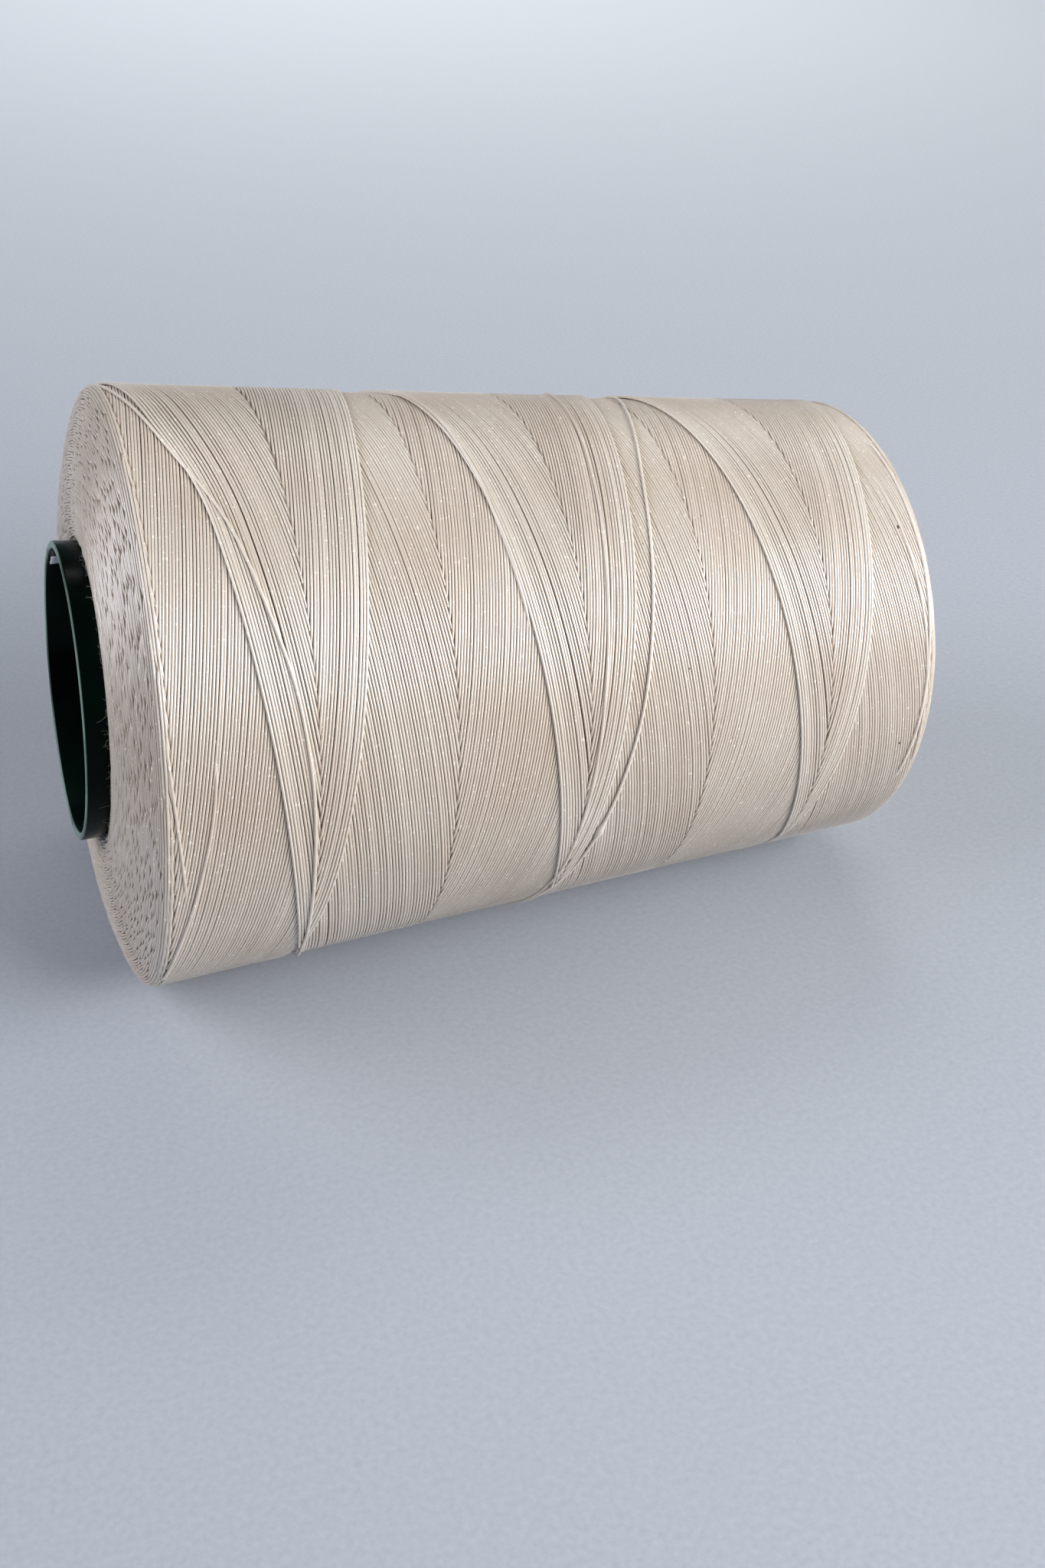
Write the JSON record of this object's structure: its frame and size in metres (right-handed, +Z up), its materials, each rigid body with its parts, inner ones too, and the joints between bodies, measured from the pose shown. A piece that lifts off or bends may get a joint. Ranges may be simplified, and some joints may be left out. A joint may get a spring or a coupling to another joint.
{
  "type": "thread cone",
  "caption": "Tapered plastic core cross-wound with waxed thread in a thick tapered package, lying on its side, with an open bore that takes a spindle.",
  "frame": {"origin": "on the floor under the middle of the whole length, where the cone lies on its side", "axes": "+X towards the nose, the cone's axis dipping 4 degrees 20 minutes below it; +Z up from the floor; +Y across"},
  "size_m": [0.1728, 0.1148, 0.1141],
  "materials": {
    "core_plastic": "injection-moulded polypropylene, very dark green, glossy",
    "waxed_thread": "natural ecru twisted thread with a thin wax coat, slight sheen",
    "label_paper": "plain uncoated paper, unprinted"
  },
  "bodies": {
    "root": {"cone_core": "core_plastic", "thread_winding": "waxed_thread", "inside_label": "label_paper"}
  },
  "joints": []
}
